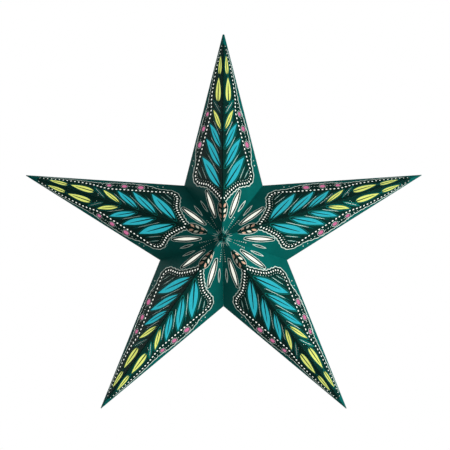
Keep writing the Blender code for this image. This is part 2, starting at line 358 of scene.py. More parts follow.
def sheet(outlines, low, high, spacing=0.012):
    """A solid sheet between two heights: the net, its reverse below, and walls on its rims."""
    flat, net = triangulated(outlines, spacing)
    count = len(flat)
    sides = np.vstack([net[:, [0, 1]], net[:, [1, 2]], net[:, [2, 0]]])
    keys = np.sort(sides, 1) @ [count, 1]
    _, first, times = np.unique(keys, return_index=True, return_counts=True)
    a, b = sides[first[times == 1]].T
    walls = np.vstack([np.c_[a, a + count, b], np.c_[b, a + count, b + count]])
    points = np.vstack([lifted(flat, high), lifted(flat, low)])
    return points, np.vstack([net, net[:, ::-1] + count, walls])


card_blank = sheet([CORNERS], 0, CARD)
print("triangles in a plain facet of card:", len(card_blank[1]))

# %% A ribbon and a dome
RIBBON_ACROSS = np.array([-1.0, -0.62, 0.0, 0.62, 1.0])
RIBBON_RISE = np.array([0.0, 0.78, 1.0, 0.78, 0.0])
TAPER_END = 0.12


def ribbon(path, half_width, height, base, closed=False, taper=0.0):
    """A domed line: at each point of the path, five points across it, and a flat base below.
    Its half width is given for each point or once for all. With a taper, the line narrows over
    that length to a small share of its width at both ends."""
    left = normals(path, closed)
    width = np.broadcast_to(half_width, len(path))
    if taper:
        run = run_of(path)
        width = width * np.clip(np.minimum(run, run[-1] - run) / taper, TAPER_END, 1)
    flat = path[:, None] + left[:, None] * (width[:, None] * RIBBON_ACROSS)[..., None]
    count, section = len(path), len(RIBBON_ACROSS)
    up = base + height * RIBBON_RISE * (width / half_width)[:, None]
    points = lifted(flat.reshape(-1, 2), 0)
    points[:, 2] += up.ravel()
    triangles = grid_triangles(count, section, wrap_rows=closed, wrap_columns=True)
    if not closed:
        triangles = np.vstack([triangles, fan(np.arange(section))[:, ::-1],
                               fan(np.arange(section) + (count - 1) * section)])
    return outwards(points, triangles)


DOME_SIDES = 10
DOME_RINGS = ((1.0, 0.0), (0.86, 0.52), (0.5, 0.88))


def domes(centres, radii, height, base):
    """Drops of paint: rings of shrinking radius and rising height, a top point, a flat base.
    The height is that of the widest, and the others are lower by as much as they are smaller."""
    centres = np.asarray(centres, float).reshape(-1, 2)
    radii = np.broadcast_to(np.asarray(radii, float), len(centres))
    turns = 2 * math.pi * np.arange(DOME_SIDES) / DOME_SIDES
    rim = np.c_[np.cos(turns), np.sin(turns)]
    rings = np.array([[*(r * c), h] for r, h in DOME_RINGS for c in rim] + [[0, 0, 1]])
    flat = centres[:, None] + rings[None, :, :2] * radii[:, None, None]
    points = lifted(flat.reshape(-1, 2), base)
    points[:, 2] += (height * rings[:, 2][None] * (radii / radii.max())[:, None]).ravel()
    body = grid_triangles(len(DOME_RINGS), DOME_SIDES, wrap_columns=True)
    last = (len(DOME_RINGS) - 1) * DOME_SIDES + np.arange(DOME_SIDES)
    top = np.c_[last, np.roll(last, -1), np.full(DOME_SIDES, len(rings) - 1)]
    one = np.vstack([body, top, fan(np.arange(DOME_SIDES))[:, ::-1]])
    shift = np.arange(len(centres)) * len(rings)
    return points, (one[None] + shift[:, None, None]).reshape(-1, 3)


print("triangles in a dome:", len(domes([0, 0], 1, 1, 0)[1]))

# %% [markdown]
# ## From arrays to pieces
#
# A piece becomes a mesh through `foreach_set`, which takes a whole array at once and is much faster
# than a list of points. Its facet coordinates go along as a UV map, so a material can tell how far
# a point lies from a fold. The two halves of an arm are mirror images, so on one of them the
# triangles are turned round again.

# %% Make a piece that rides on a body
PIECES = []
SHARP_ANGLE = math.radians(35)
UV_NAME = "facet"


def new_mesh(name, points, triangles, materials, slots=None):
    """A mesh object from arrays, shaded smooth, with each triangle's material number."""
    mesh = bpy.data.meshes.new(name)
    mesh.vertices.add(len(points))
    mesh.vertices.foreach_set("co", np.ascontiguousarray(points, np.float32).ravel())
    mesh.loops.add(len(triangles) * 3)
    mesh.loops.foreach_set("vertex_index", np.ascontiguousarray(triangles, np.int32).ravel())
    mesh.polygons.add(len(triangles))
    mesh.polygons.foreach_set("loop_start", np.arange(len(triangles), dtype=np.int32) * 3)
    for look in materials:
        mesh.materials.append(look)
    if slots is not None:
        mesh.polygons.foreach_set("material_index", np.asarray(slots, np.int32))
    mesh.update(calc_edges=True)
    mesh.shade_smooth()
    mesh.set_sharp_from_angle(angle=SHARP_ANGLE)
    thing = bpy.data.objects.new(name, mesh)
    bpy.context.scene.collection.objects.link(thing)
    PIECES.append(thing)
    return thing


def write_uv(thing, flat):
    """Stores two numbers for each point as the UV map that the materials read."""
    corners = np.zeros(len(thing.data.loops), np.int32)
    thing.data.loops.foreach_get("vertex_index", corners)
    uv = thing.data.uv_layers.new(name=UV_NAME)
    uv.data.foreach_set("uv", np.ascontiguousarray(flat[corners], np.float32).ravel())


def laid_on(on, name, shape, materials, slots=None):
    """A shape in facet coordinates, laid on a facet and riding on its body."""
    points, triangles = shape
    if np.linalg.det(on["axes"]) < 0:
        triangles = triangles[:, ::-1]
    world = on["point"] + points @ on["axes"]
    thing = new_mesh(f"{on['name']}_{name}", world, triangles, materials, slots)
    write_uv(thing, points[:, :2])
    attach(thing, on["name"])
    return thing


print("edges over", round(math.degrees(SHARP_ANGLE)), "degrees are shaded sharp")

# %% [markdown]
# ## Paper, ink and tissue
#
# The card is printed paper with a satin face: short fibres show as fine grain in its colour and
# its gloss, and a painted highlight makes it a little paler along the ridges. Its inner face is bare
# paper.
# Silver is a pale paint with a trace of metal in fine grains, and shines a little. The other inks
# are matt. The tissue has a painted glow of its own, for the daylight that comes through it from
# behind.
#
# Scans of paper could make these looks. Noise on Object coordinates is used instead, because it
# needs no image, shows no seam and stays sharp close by. A look is a small tree of nodes. Each
# helper adds a node or two and feeds them, so a material reads as a list of what it is made of.

# %% Start a material and feed a node
def material(name):
    """A new material, and short ways to add its nodes and to link them."""
    made = bpy.data.materials.new(name)
    made.use_nodes = True
    return made, made.node_tree.nodes, made.node_tree.links


def feed(links, node, sockets):
    """Gives sockets of a node what they read, by name or number: an output, a colour or a value."""
    for name, value in sockets.items():
        if isinstance(value, bpy.types.NodeSocket):
            links.new(value, node.inputs[name])
        else:
            node.inputs[name].default_value = (*value, 1) if isinstance(value, tuple) else value


print("materials before the first look:", len(bpy.data.materials))

# %% One helper for each kind of node
def noise(nodes, links, scale, detail=4.0, roughness=0.6, stretch=None):
    """Noise on Object coordinates: its scale is in features to the metre."""
    where = nodes.new("ShaderNodeTexCoord").outputs["Object"]
    if stretch:
        mapping = nodes.new("ShaderNodeMapping")
        mapping.inputs["Scale"].default_value = stretch
        links.new(where, mapping.inputs["Vector"])
        where = mapping.outputs["Vector"]
    made = nodes.new("ShaderNodeTexNoise")
    feed(links, made, {"Vector": where, "Scale": scale, "Detail": detail, "Roughness": roughness})
    return made.outputs["Fac"]


def ramp(nodes, links, value, stops, interpolation="LINEAR"):
    """A colour ramp from rows of place and colour."""
    made = nodes.new("ShaderNodeValToRGB")
    made.color_ramp.interpolation = interpolation
    while len(made.color_ramp.elements) < len(stops):
        made.color_ramp.elements.new(0.5)
    for element, (place, colour) in zip(made.color_ramp.elements, stops):
        element.position = place
        element.color = (*colour, 1)
    feed(links, made, {"Fac": value})
    return made.outputs["Color"]


def mixed(nodes, links, share, one, other, blend="MIX"):
    """One colour mixed into another by a share between 0 and 1."""
    made = nodes.new("ShaderNodeMix")
    made.data_type = "RGBA"
    made.blend_type = blend
    feed(links, made, {"Factor": share, "A": one, "B": other})
    return made.outputs["Result"]


def spread(nodes, links, value, low, high, top=1.0):
    """A value between 0 and a top, spread over another range and kept within it."""
    made = nodes.new("ShaderNodeMapRange")
    feed(links, made, {"Value": value, "From Max": top, "To Min": low, "To Max": high})
    return made.outputs["Result"]


def arithmetic(nodes, links, operation, one, other):
    """A value worked out from two others, of which the second may be a plain number."""
    made = nodes.new("ShaderNodeMath")
    made.operation = operation
    feed(links, made, {0: one, 1: other})
    return made.outputs["Value"]


def facet_place(nodes, links):
    """A point's two numbers in the UV map of its piece."""
    uv = nodes.new("ShaderNodeUVMap")
    uv.uv_map = UV_NAME
    made = nodes.new("ShaderNodeSeparateXYZ")
    feed(links, made, {"Vector": uv.outputs["UV"]})
    return made.outputs["X"], made.outputs["Y"]


def bumped(nodes, links, shader, value, distance, strength):
    """A bump of a real height in metres on a shader's normal."""
    made = nodes.new("ShaderNodeBump")
    feed(links, made, {"Height": value, "Distance": distance, "Strength": strength})
    feed(links, shader, {"Normal": made.outputs["Normal"]})


NODE_HELPERS = (noise, ramp, mixed, spread, arithmetic, facet_place, bumped)
print("node helpers:", [helper.__name__ for helper in NODE_HELPERS])

# %% The card and its bare and cut faces
FIBRE_SCALE = 1400
FIBRE_STRETCH = (1, 1, 0.35)
MOTTLE_SCALE = 26
PRINT_GLOSS = 0.02
CARD_ROUGHNESS = (0.36, 0.56)
BARE_ROUGHNESS = 0.85
CARD_RELIEF = 0.00003
BARE_RELIEF = 0.00004
# Painted highlight: the card is paler within this width of the ridge, broken up by its fibres.
RIDGE_HIGHLIGHT_WIDTH = 0.0009
RIDGE_HIGHLIGHT_SHARE = 0.9
RIDGE_HIGHLIGHT_GREEN = (0.05, 0.26, 0.23)


def fibres(nodes, links):
    """Short paper fibres, a few to the millimetre."""
    return noise(nodes, links, FIBRE_SCALE, detail=6, roughness=0.7, stretch=FIBRE_STRETCH)


def printed_card():
    """Satin green print on fibrous paper. It has a painted highlight on the ridge, a little paler
    where the facet's v is near nothing, broken up by the fibres."""
    made, nodes, links = material("printed_card")
    shader = nodes["Principled BSDF"]
    fibre = fibres(nodes, links)
    mottle = noise(nodes, links, MOTTLE_SCALE, detail=3)
    green = ramp(nodes, links, mottle,
                 [(0.30, (0.0008, 0.105, 0.092)), (0.70, (0.0016, 0.140, 0.124))])
    grain = ramp(nodes, links, fibre, [(0.35, (0.80, 0.80, 0.80)), (0.65, (1.12, 1.10, 1.10))])
    tinted = mixed(nodes, links, 1, green, grain, "MULTIPLY")
    on_ridge = spread(nodes, links, facet_place(nodes, links)[1], 1, 0, RIDGE_HIGHLIGHT_WIDTH)
    by_fibre = spread(nodes, links, fibre, 0.0, RIDGE_HIGHLIGHT_SHARE)
    painted_highlight = arithmetic(nodes, links, "MULTIPLY", on_ridge, by_fibre)
    feed(links, shader, {
        "Base Color": mixed(nodes, links, painted_highlight, tinted, RIDGE_HIGHLIGHT_GREEN),
        "Roughness": spread(nodes, links, fibre, *CARD_ROUGHNESS),
        "Specular IOR Level": PRINT_GLOSS,
    })
    bumped(nodes, links, shader, fibre, CARD_RELIEF, strength=0.5)
    return made


def fibrous(name, dark, light):
    """Rough fibrous stuff, such as bare paper: two near shades mixed by its fibres."""
    made, nodes, links = material(name)
    shader = nodes["Principled BSDF"]
    fibre = fibres(nodes, links)
    feed(links, shader, {
        "Base Color": ramp(nodes, links, fibre, [(0.3, dark), (0.7, light)]),
        "Roughness": BARE_ROUGHNESS,
    })
    bumped(nodes, links, shader, fibre, BARE_RELIEF, strength=0.6)
    return made


CARD_FACE = printed_card()
CARD_INSIDE = fibrous("card_inside", (0.46, 0.52, 0.46), (0.62, 0.66, 0.60))
CARD_CUT = fibrous("card_cut_edge", (0.012, 0.09, 0.075), (0.05, 0.19, 0.16))
print("card:", [look.name for look in (CARD_FACE, CARD_INSIDE, CARD_CUT)])


# %% Silver, dark, green, peach and cream inks
INK_ROUGHNESS = 0.5
INK_GRAIN = 900
INK_RELIEF = 0.00002
ROUGHNESS_PLAY = 0.2


def ink(name, dark, light, roughness=INK_ROUGHNESS, gloss=PRINT_GLOSS, metallic=0.0,
        grain=INK_GRAIN):
    """Ink of two near shades in fine grains, with its own gloss and a little relief."""
    made, nodes, links = material(name)
    shader = nodes["Principled BSDF"]
    grains = noise(nodes, links, grain, detail=3, roughness=0.7)
    rough = (roughness * (1 - ROUGHNESS_PLAY), roughness * (1 + ROUGHNESS_PLAY))
    feed(links, shader, {
        "Base Color": ramp(nodes, links, grains, [(0.35, dark), (0.65, light)]),
        "Roughness": spread(nodes, links, grains, *rough),
        "Metallic": metallic,
        "Specular IOR Level": gloss,
    })
    bumped(nodes, links, shader, grains, INK_RELIEF, strength=0.6)
    return made


SILVER = ink("silver_ink", (0.60, 0.73, 0.65), (0.84, 0.97, 0.88), roughness=0.42, gloss=0.2,
             metallic=0.06, grain=2200)
DARK = ink("dark_green_ink", (0.0006, 0.018, 0.014), (0.0016, 0.034, 0.027))
GREEN = ink("green_ink", (0.0015, 0.150, 0.125), (0.004, 0.200, 0.170))
PEACH = ink("peach_ink", (0.72, 0.40, 0.26), (0.86, 0.56, 0.40))
CREAM = ink("cream_ink", (0.84, 0.80, 0.62), (0.95, 0.93, 0.80))
print("inks:", [look.name for look in (SILVER, DARK, GREEN, PEACH, CREAM)])


# %% Tissue in four colours
TISSUE_SCALE = 420
TISSUE_STRETCH = (1, 1, 0.25)
CLOUD_SCALE = 60
CLOUD_SHARE = 0.35
FACE_SHARE = 0.4
# Painted glow: the tissue gives light of its own, standing for the light that comes through it from
# behind.
PAINTED_GLOW = 1.3
TISSUE_ROUGHNESS = 0.8
TISSUE_RELIEF = 0.00004


def tissue(name, dark, light):
    """Thin dyed paper: long soft fibres in two near shades. Most of its light is a painted glow of
    its own, for the light that comes through it from behind, and only a share of what falls on it
    returns."""
    made, nodes, links = material(name)
    shader = nodes["Principled BSDF"]
    fibre = noise(nodes, links, TISSUE_SCALE, detail=5, roughness=0.65, stretch=TISSUE_STRETCH)
    cloud = spread(nodes, links, noise(nodes, links, CLOUD_SCALE, detail=2), 0.0, CLOUD_SHARE)
    dyed = ramp(nodes, links, fibre, [(0.35, dark), (0.65, light)])
    colour = mixed(nodes, links, cloud, dyed, light)
    face = nodes.new("ShaderNodeHueSaturation")
    feed(links, face, {"Color": colour, "Value": FACE_SHARE})
    feed(links, shader, {
        "Base Color": face.outputs["Color"],
        "Emission Color": colour,
        "Emission Strength": PAINTED_GLOW,
        "Roughness": TISSUE_ROUGHNESS,
        "Specular IOR Level": PRINT_GLOSS,
    })
    bumped(nodes, links, shader, fibre, TISSUE_RELIEF, strength=0.4)
    return made


TISSUE_COLOURS = {
    "turquoise": tissue("turquoise_tissue", (0.010, 0.255, 0.305), (0.024, 0.310, 0.370)),
    "yellow": tissue("yellow_tissue", (0.45, 0.49, 0.090), (0.54, 0.59, 0.16)),
    "pink": tissue("pink_tissue", (0.35, 0.080, 0.170), (0.44, 0.13, 0.24)),
    "white": tissue("white_tissue", (0.62, 0.61, 0.53), (0.70, 0.69, 0.62)),
    # A paler copy of the white tissue behind the pinholes: painted light, so that its glow shows
    # brighter in the shade of the deep holes.
    "strip": tissue("pinhole_tissue_painted_brighter", (0.74, 0.74, 0.68), (0.82, 0.82, 0.77)),
}
print("tissue:", [look.name for look in TISSUE_COLOURS.values()])

# %% [markdown]
# ## The windows
#
# The windows of the real star are cut out of the flat card: here a row of four leaves rising from
# the ridge, two drops towards the tip, three round berries between the leaves and the outline, and
# a slim petal near the star's point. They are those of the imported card, with more points so that
# their edges are smooth. Boolean cuts would leave long thin faces, so each window is an outline
# that the card's triangles are fitted round.
#
# Each row of numbers gives a window's foot, its tip, and its belly, which is how far it swells on
# both sides. They are shares of the ridge and of the valley, so that the windows would follow a
# facet of another shape.

# %% Draw the windows
LEAF_SHARES = (
    ((0.224, 0.042), (0.254, 0.528), (-0.037, 0.044)),
    ((0.322, 0.038), (0.368, 0.432), (-0.031, 0.037)),
    ((0.416, 0.035), (0.464, 0.336), (-0.026, 0.031)),
    ((0.506, 0.032), (0.554, 0.248), (-0.020, 0.025)),
)
DROP_SHARES = (
    ((0.624, 0.128), (0.748, 0.112), (-0.014, 0.066)),
    ((0.766, 0.092), (0.868, 0.064), (-0.009, 0.042)),
)
BERRY_SHARES = ((0.298, 0.598), (0.400, 0.500), (0.496, 0.402))
BERRY_RADII = (0.0044, 0.0039, 0.0033)
PETAL_SHARES = ((0.054, 0.180), (0.118, 0.410), (-0.013, 0.030))
DROP_PEAK = math.sqrt(1 / 3) * 2 / 3


def window(foot, tip, belly, width, t):
    """Two sides from foot to tip and back: the middle line, and the belly times a width on both
    sides of it. The width is an array for the places t, which run from 0 at the foot to 1."""
    foot, tip, belly = (np.array(shares) for shares in (foot, tip, belly))
    middle = foot + (tip - foot) * t[:, None]
    bulge = belly * width[:, None]
    return [on_facet(middle + bulge), on_facet(middle - bulge)[::-1]]


def leaf(foot, tip, belly, start=0.0, steps=24):
    """A leaf from a start along it to its tip. Its width is half a sine wave."""
    t = start + (1 - start) * np.linspace(0, 1, steps + 1)
    return window(foot, tip, belly, np.sin(math.pi * t), t)


def drop(foot, tip, belly, start=0.0, steps=20):
    """A drop from a start along it to its point. Its width is the root of t times what is left,
    over the peak of that product, and its places lie close together at the round foot."""
    t = start + (1 - start) * np.linspace(0, 1, steps + 1) ** 2
    return window(foot, tip, belly, np.sqrt(t) * (1 - t) / DROP_PEAK, t)


def circle(centre, radius, steps=36):
    """A circle as one closed side, whose last point repeats its first."""
    turns = np.linspace(0, 2 * math.pi, steps + 1)
    return [np.asarray(centre) + radius * np.c_[np.cos(turns), np.sin(turns)]]


def whole(sides):
    """A window's sides as one closed outline."""
    return thinned(np.vstack(sides))


LEAVES = [leaf(*row) for row in LEAF_SHARES]
DROPS = [drop(*row) for row in DROP_SHARES]
BERRIES = [circle(place, radius) for place, radius in zip(on_facet(BERRY_SHARES), BERRY_RADII)]
PETAL = leaf(*PETAL_SHARES)
print("windows:", len(LEAVES) + len(DROPS) + len(BERRIES) + 1)

# %% [markdown]
# A thin rib of card is left standing in each leaf and drop, like the vein of a real leaf, and
# breaks up the wide windows. A strip laid across a window would lie on the card and not in it, so
# the cut itself leaves the rib: it goes out along one side, back along the other, and then round
# the rib. It starts a little way up from the foot, where the window is about as wide as the rib.

# %% Leave a rib in each leaf and drop
RIB_SHARE = 0.17
RIB_REACH = 0.78
LEAF_RIB_START = 0.06
DROP_RIB_START = 0.005


def rib(foot, tip, belly, start=0.0, steps=14):
    """The rib in a window: a share of its belly, times the root of what is left of the rib."""
    t = start + (RIB_REACH - start) * np.linspace(0, 1, steps + 1)
    return window(foot, tip, belly, RIB_SHARE * np.sqrt(1 - t / RIB_REACH), t)


def split(kind, row, start):
    """The outline of a window with its rib left standing in it, from a start along both."""
    one, other = kind(*row, start=start)
    near, far = rib(*row, start=start)
    return whole([one, other, far[::-1], near[::-1]])


RIBS = [rib(*row) for row in LEAF_SHARES + DROP_SHARES]
HOLES = [split(leaf, row, LEAF_RIB_START) for row in LEAF_SHARES]
HOLES += [split(drop, row, DROP_RIB_START) for row in DROP_SHARES]
HOLES += [whole(sides) for sides in (*BERRIES, PETAL)]
print("holes:", [round(abs(signed_area(hole)) * 1e6) for hole in HOLES], "mm2")

# %% [markdown]
# A row of pinholes frames the windows, and light shows in them as white dots. White paint would
# look flat there, so they are holes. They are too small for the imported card, so they are only
# punched here, and they get smaller towards the tip.

# %% Punch the row of pinholes
BORDER_SHARES = (
    (0.176, 0.017), (0.176, 0.108), (0.170, 0.239), (0.158, 0.369), (0.130, 0.510), (0.106, 0.635),
    (0.113, 0.703), (0.154, 0.681), (0.207, 0.622), (0.272, 0.556), (0.362, 0.467), (0.452, 0.377),
    (0.513, 0.317), (0.552, 0.300), (0.586, 0.298), (0.627, 0.282), (0.693, 0.238), (0.774, 0.176),
    (0.860, 0.097), (0.920, 0.041),
)
PIN_PITCH = 0.0060
PIN_RADIUS = 0.00155
PIN_RADIUS_AT_TIP = 0.00095
PIN_FADE = (0.7, 1)
PIN_SIDES = 10
BORDER_STEPS = 12
BORDER = smooth(on_facet(BORDER_SHARES), BORDER_STEPS)
BORDER_LENGTH = run_of(BORDER)[-1]
pin_at = np.arange(PIN_PITCH / 2, BORDER_LENGTH, PIN_PITCH)
PIN_PLACES = points_at(BORDER, pin_at)
PIN_RADII = np.interp(pin_at / BORDER_LENGTH, PIN_FADE, (PIN_RADIUS, PIN_RADIUS_AT_TIP))


def pins(extra=0.0):
    """The outlines of the pinholes, each grown by an extra radius."""
    return [circle(place, radius + extra, PIN_SIDES)[0][:-1]
            for place, radius in zip(PIN_PLACES, PIN_RADII)]


print("pinholes:", len(PIN_PLACES), "along", round(BORDER_LENGTH * 1000), "mm")

# %% [markdown]
# ## The card
#
# An arm of the real star is one sheet, scored and folded. A thin shell bent at its creases could
# show that, but each facet moves by itself here, so it is a piece of its own. It stops short of
# each crease by as much as a fold of its thickness needs. The back's ridges and valleys carry no
# fold line. At the valleys the card reaches further instead, and at the ridges a rounded lip on
# each side closes the gap. The seam, at the bottom in front, is cut like the back's valleys.

# %% Outline of the card between its creases
OPEN_VALLEY_CUT = 0.00036


def half_angle(one, other):
    """Half the angle inside the paper between two facets, from their outward normals."""
    between = math.acos(np.clip(one["axes"][2].dot(other["axes"][2]), -1, 1))
    return (math.pi - between) / 2


RIDGE_ANGLE = half_angle(SAMPLE, FACETS["right_ccw_front"])
VALLEY_ANGLE = half_angle(SAMPLE, FACETS["lower_right_ccw_front"])
OUTLINE_ANGLE = half_angle(SAMPLE, FACETS["right_cw_back"])
RIDGE_CUT = INNER_FOLD / math.tan(RIDGE_ANGLE) + CREASE_GAP
VALLEY_CUT = (CARD + OUTER_FOLD) / math.tan(VALLEY_ANGLE) + CREASE_GAP
OUTLINE_CUT = INNER_FOLD / math.tan(OUTLINE_ANGLE) + CREASE_GAP
print("half angles:", np.degrees([RIDGE_ANGLE, VALLEY_ANGLE, OUTLINE_ANGLE]).round(2).tolist())


def meet(p, along, q, other):
    """Where two lines cross, each a point and a direction."""
    return p + along * np.linalg.solve(np.c_[along, -other], q - p)[0]


def inset_corners(valley_cut, nip):
    """The corners of the facet with its three sides moved in, and its tip cut off by a nip."""
    sides = []
    for start, end, cut in zip(CORNERS, np.roll(CORNERS, -1, 0),
                               (RIDGE_CUT, OUTLINE_CUT, valley_cut)):
        along = unit(end - start)
        sides.append((start + np.array([-along[1], along[0]]) * cut, along))
    ridge, outline, valley = sides
    corners = [meet(*valley, *ridge), meet(*ridge, *outline), meet(*outline, *valley)]
    if nip:
        end = (np.array([RIDGE - nip, 0]), np.array([0.0, 1.0]))
        corners[1:2] = [meet(*ridge, *end), meet(*outline, *end)]
    return np.array(corners)


def with_points(corners, spacing):
    """A polygon with extra points along its sides, so that it can bow."""
    return np.vstack([evenly(np.array([a, b]), spacing)[:-1]
                      for a, b in zip(corners, np.roll(corners, -1, 0))])


# %% Cut the card
CARD_NET = 0.009
FACE_TILT = 0.5
CARD_SHAPES = {}
for side, valley_cut in (("front", VALLEY_CUT), ("back", OPEN_VALLEY_CUT)):
    for nip in (0.0, CORD_HOLE):
        rim = with_points(inset_corners(valley_cut, nip), CARD_NET)
        CARD_SHAPES[side, nip] = sheet([rim, *HOLES, *pins()], 0, CARD, CARD_NET)
print("card triangles:", {key: len(shape[1]) for key, shape in CARD_SHAPES.items()})


def card_slots(shape):
    """0 for the printed face, 1 for the inside, 2 for the cut edges, by each triangle's tilt."""
    points, triangles = shape
    a, b, c = (points[triangles[:, k]] for k in range(3))
    normal = np.cross(b - a, c - a)
    tilt = normal[:, 2] / np.linalg.norm(normal, axis=1)
    return np.where(tilt > FACE_TILT, 0, np.where(tilt < -FACE_TILT, 1, 2))


# %% Lay the card on every facet
SEAM_FACETS = ("lower_right_cw_front", "lower_left_ccw_front")
CARD_LOOKS = [CARD_FACE, CARD_INSIDE, CARD_CUT]
for name, on in FACETS.items():
    kind = "back" if name in SEAM_FACETS else on["side"]
    shape = CARD_SHAPES[kind, CORD_HOLE if on["arm"] == "top" else 0.0]
    sheet_piece = laid_on(on, "pierced_card", shape, CARD_LOOKS, card_slots(shape))
    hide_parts(f"{name}_card")
print("cards:", len(FACETS), "of which", len(SEAM_FACETS), "end at the seam")

# %% [markdown]
# ## The tissue
#
# Each colour is a patch of its own, glued to the inside of the card round its windows: turquoise
# behind three leaves, yellow behind the last leaf and the drops, pink behind the berries and white
# behind the petal. A strip of white tissue behind them backs the pinholes. Cloth could be draped
# there, but glued tissue lies as flat as the card, so a patch is a thin sheet with the same bow.

# %% Draw the patches and lay them behind the card
LEAF_PATCH_SHARES = (
    (0.214, 0.028), (0.324, 0.026), (0.415, 0.025), (0.456, 0.028), (0.483, 0.140), (0.492, 0.215),
    (0.497, 0.290), (0.475, 0.342), (0.456, 0.362), (0.438, 0.363), (0.373, 0.450), (0.352, 0.460),
    (0.284, 0.521), (0.251, 0.555), (0.224, 0.537), (0.185, 0.472), (0.182, 0.342), (0.189, 0.217),
    (0.201, 0.098),
)
DROP_PATCH_SHARES = (
    (0.474, 0.030), (0.530, 0.024), (0.600, 0.025), (0.693, 0.025), (0.783, 0.025), (0.867, 0.027),
    (0.883, 0.054), (0.849, 0.103), (0.784, 0.154), (0.741, 0.154), (0.695, 0.184), (0.644, 0.213),
    (0.605, 0.212), (0.572, 0.262), (0.548, 0.285), (0.518, 0.283), (0.500, 0.215), (0.492, 0.140),
)
POD_ROWS = ((0.217, 0.689, 0.0006), (0.298, 0.598, 0.0054), (0.400, 0.500, 0.0050),
            (0.496, 0.402, 0.0045), (0.548, 0.372, 0.0006))
FIELD_STEPS = 6
PETAL_MARGIN = 0.0027
STRIP_HALF = 0.0025
STRIP_POINTS = 120
TISSUE = 0.0001
TISSUE_TOP = -0.00002
STRIP_TOP = -0.00014


def band(path, half_width):
    """A closed outline on both sides of a path, at a half width for each point or for all."""
    return np.vstack([beside(path, half_width), beside(path, -half_width)[::-1]])


def slots_of(shapes, numbers):
    """The material number of every triangle in a row of shapes, from one number for each shape."""
    return np.repeat(numbers, [len(triangles) for _, triangles in shapes])


pod = np.array(POD_ROWS)
pod = smooth(np.c_[on_facet(pod[:, :2]), pod[:, 2]])
PATCHES = {"turquoise": smooth(on_facet(LEAF_PATCH_SHARES), FIELD_STEPS, closed=True),
           "yellow": smooth(on_facet(DROP_PATCH_SHARES), FIELD_STEPS, closed=True),
           "pink": band(pod[:, :2], pod[:, 2]), "white": grown(PETAL, PETAL_MARGIN)}
patch_shapes = [sheet([outline], TISSUE_TOP - TISSUE, TISSUE_TOP) for outline in PATCHES.values()]
strip_at = np.linspace(pin_at[0] - PIN_RADIUS, BORDER_LENGTH, STRIP_POINTS)
strip_outline = band(points_at(BORDER, strip_at), STRIP_HALF)
patch_shapes.append(sheet([strip_outline], STRIP_TOP - TISSUE, STRIP_TOP))
tissue_shape = joined(patch_shapes)
tissue_looks = [TISSUE_COLOURS[name] for name in (*PATCHES, "strip")]
tissue_slots = slots_of(patch_shapes, range(len(patch_shapes)))
for name, on in FACETS.items():
    tissue_piece = laid_on(on, "tissue_patches", tissue_shape, tissue_looks, tissue_slots)
    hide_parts(f"{name}_tissue")
print("tissue areas:", {c: round(abs(signed_area(o)) * 1e6) for c, o in PATCHES.items()}, "mm2")

# %% [markdown]
# ## The print
#
# Dark green surrounds the windows and the pinholes and covers the ribs, and husks of plain green
# are left in it. Its edge is a wavy silver line. Green lines run round the leaves and drops and
# silver ones round the berries and the petal. Beside the petal lie a dark seed and, on a small dark
# field at the ridge, a bud of three petals in peach and cream. The dark print is a film of ink a
# few hundredths of a millimetre thick, and the lines and dots stand up from it, as thick ink does.
# All of it could be colour in the card's material, but then its edges would cast no shadow and
# would blur close by. The motifs are like small windows in their shape, so the same rows of foot,
# tip and belly draw them.

# %% Small printed motifs
HUSK_SHARES = (
    ((0.172, 0.395), (0.212, 0.566), (-0.010, 0.018)),
    ((0.148, 0.520), (0.168, 0.640), (-0.009, 0.015)),
    ((0.276, 0.060), (0.310, 0.456), (-0.008, 0.010)),
    ((0.373, 0.052), (0.417, 0.360), (-0.006, 0.008)),
    ((0.466, 0.046), (0.510, 0.270), (-0.006, 0.008)),
    ((0.582, 0.044), (0.602, 0.262), (-0.014, 0.018)),
)
SEED_SHARES = ((0.028, 0.369), (0.034, 0.564), (-0.008, 0.015))
BUD_SHARES = (
    ((0.088, 0.018), (0.092, 0.070), (-0.008, 0.014)),
    ((0.112, 0.018), (0.115, 0.084), (-0.009, 0.015)),
    ((0.136, 0.018), (0.142, 0.080), (-0.009, 0.017)),
)
BUD_FIELD_SHARES = ((0.068, 0.008), (0.074, 0.050), (0.088, 0.096), (0.110, 0.118), (0.136, 0.098),
                    (0.160, 0.052), (0.171, 0.008))
HUSKS = [leaf(*row, steps=14) for row in HUSK_SHARES]
SEED = leaf(*SEED_SHARES, steps=16)
BUD = [leaf(*row, steps=10) for row in BUD_SHARES]
BUD_FIELD = smooth(on_facet(BUD_FIELD_SHARES), FIELD_STEPS)
print("motifs to a facet:", len(HUSKS), "husks, a seed and", len(BUD), "small petals")

# %% [markdown]
# The dark field reaches from the ridge past the pinholes, by a half width that changes along their
# row: narrow beside the berries, wide round the foot of the leaves. Each row of `EDGE_HALVES` is a
# share of the row's length and the half width there. A dark eye lies at the star's point.

# %% The dark film
FILM = 0.00004
INK_FOOT = CARD - 0.00001
FIELD_GAP = 0.0003
PIN_GAP = 0.00012
RIDGE_MARGIN = 0.00072
EDGE_HALVES = (
    (0, 0.0042), (0.24, 0.0044), (0.30, 0.0050), (0.36, 0.0064), (0.41, 0.0122), (0.46, 0.0156),
    (0.55, 0.0160), (0.63, 0.0146), (0.68, 0.0092), (0.73, 0.0052), (0.80, 0.0040), (0.88, 0.0029),
    (1, 0.0019),
)
WAVE_PITCH = 0.0095
WAVE_RISE = 0.0012
WAVE_FADE = 0.4
LINE_PITCH = 0.001
EYE_RADIUS = 0.0062
EYE_TURNS = (8, 32)
EYE_FOOT = (0.0024, 20)
EYE_POINTS = 9


def polar(radius, degrees):
    """Points at a distance from the star's point, at an angle from the ridge."""
    angle = np.radians(degrees)
    return np.stack(np.broadcast_arrays(radius * np.cos(angle), radius * np.sin(angle)), -1)


def film(*outlines, layers=1):
    """Ink inside the first outline and outside the others, with its foot just in the card."""
    return sheet(outlines, INK_FOOT, CARD + layers * FILM)


